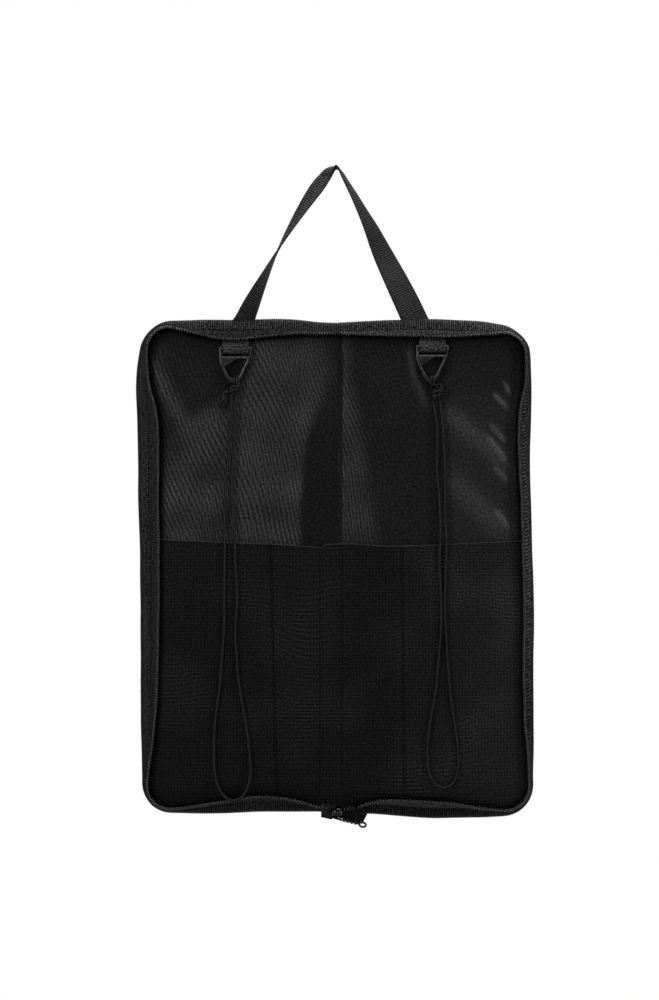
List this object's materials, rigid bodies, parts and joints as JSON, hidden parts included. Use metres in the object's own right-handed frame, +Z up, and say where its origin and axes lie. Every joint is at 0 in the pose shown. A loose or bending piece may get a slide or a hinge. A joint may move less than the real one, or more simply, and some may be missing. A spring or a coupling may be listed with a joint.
{
  "type": "drum stick bag",
  "caption": "Padded fabric stick bag that unzips round three sides and opens flat like a book, with stick pockets, a webbing handle, D-rings and elastic hanging loops.",
  "frame": {"origin": "the point the bag hangs from: underside of the handle strap at its apex", "axes": "+Z up along the spine, +X to the right, -Y out of the open bag towards the user"},
  "size_m": [0.376, 0.0353, 0.6226],
  "materials": {
    "outer_nylon": "matt woven nylon",
    "lining_nylon": "fine plain weave with a slight sheen",
    "pocket_oxford": "oxford weave with a fine square grid",
    "edge_binding": "ribbed grosgrain",
    "zip_tape": "woven polyester",
    "zip_coil": "glossy nylon coil",
    "zip_metal": "black lacquer, worn bright at the edges",
    "webbing": "ribbed polypropylene webbing",
    "elastic_cord": "braided sheath",
    "foam": "closed-cell foam, hidden",
    "ring_plastic": "moulded plastic"
  },
  "bodies": {
    "spine": {"spine_lining": "lining_nylon", "spine_padding": "foam", "spine_outer_panel": "outer_nylon", "spine_pocket_panel": "pocket_oxford", "spine_top_wall": "edge_binding", "spine_bottom_wall": "edge_binding", "handle_strap": "webbing", "zip_tape_ends": "zip_tape"},
    "zip_slider": {"zip_slider": "zip_metal"},
    "zip_pull": {"zip_pull": "zip_metal"},
    "left_half": {"left_lining": "lining_nylon", "left_padding": "foam", "left_outer_panel": "outer_nylon", "left_edge_band": "edge_binding", "left_zip_tape": "zip_tape", "left_zip_coil": "zip_coil", "left_zip_stop": "zip_metal", "left_pocket_panel": "pocket_oxford", "left_ring_tab": "webbing"},
    "left_ring": {"left_d_ring": "ring_plastic"},
    "left_cord": {"left_cord": "elastic_cord", "left_cord_knot": "elastic_cord"},
    "right_half": {"right_lining": "lining_nylon", "right_padding": "foam", "right_outer_panel": "outer_nylon", "right_edge_band": "edge_binding", "right_zip_tape": "zip_tape", "right_zip_coil": "zip_coil", "right_zip_stop": "zip_metal", "right_pocket_panel": "pocket_oxford", "right_ring_tab": "webbing"},
    "right_ring": {"right_d_ring": "ring_plastic"},
    "right_cord": {"right_cord": "elastic_cord", "right_cord_knot": "elastic_cord"}
  },
  "joints": [
    {"name": "left_fold", "type": "hinge", "parent": "spine", "child": "left_half", "pos_m": [-0.012, 0, -0.379], "axis": [0, 0, 1], "range_deg": [0, 90]},
    {"name": "right_fold", "type": "hinge", "parent": "spine", "child": "right_half", "pos_m": [0.012, 0, -0.379], "axis": [0, 0, -1], "range_deg": [0, 90]},
    {"name": "zip_slider_travel", "type": "slide", "parent": "spine", "child": "zip_slider", "axis": [0, 1, 0], "range_m": [-0.01, 0]},
    {"name": "zip_pull_swing", "type": "hinge", "parent": "zip_slider", "child": "zip_pull", "pos_m": [-0.003, -0.018, -0.6175], "axis": [0, 1, 0], "range_deg": [0, 180]},
    {"name": "left_ring_swing", "type": "hinge", "parent": "left_half", "child": "left_ring", "pos_m": [-0.0969, -0.0068, -0.1726], "axis": [1, 0, 0], "range_deg": [-100, 0]},
    {"name": "left_cord_hang", "type": "hinge", "parent": "left_ring", "child": "left_cord", "pos_m": [-0.0969, -0.0068, -0.2039], "axis": [1, 0, 0], "range_deg": [0, 100]},
    {"name": "right_ring_swing", "type": "hinge", "parent": "right_half", "child": "right_ring", "pos_m": [0.0902, -0.0068, -0.1711], "axis": [1, 0, 0], "range_deg": [-100, 0]},
    {"name": "right_cord_hang", "type": "hinge", "parent": "right_ring", "child": "right_cord", "pos_m": [0.0902, -0.0068, -0.2024], "axis": [1, 0, 0], "range_deg": [0, 100]}
  ],
  "couplings": [
    {"joint": "left_cord_hang", "follows": "left_ring_swing", "ratio": -1},
    {"joint": "right_cord_hang", "follows": "right_ring_swing", "ratio": -1}
  ]
}
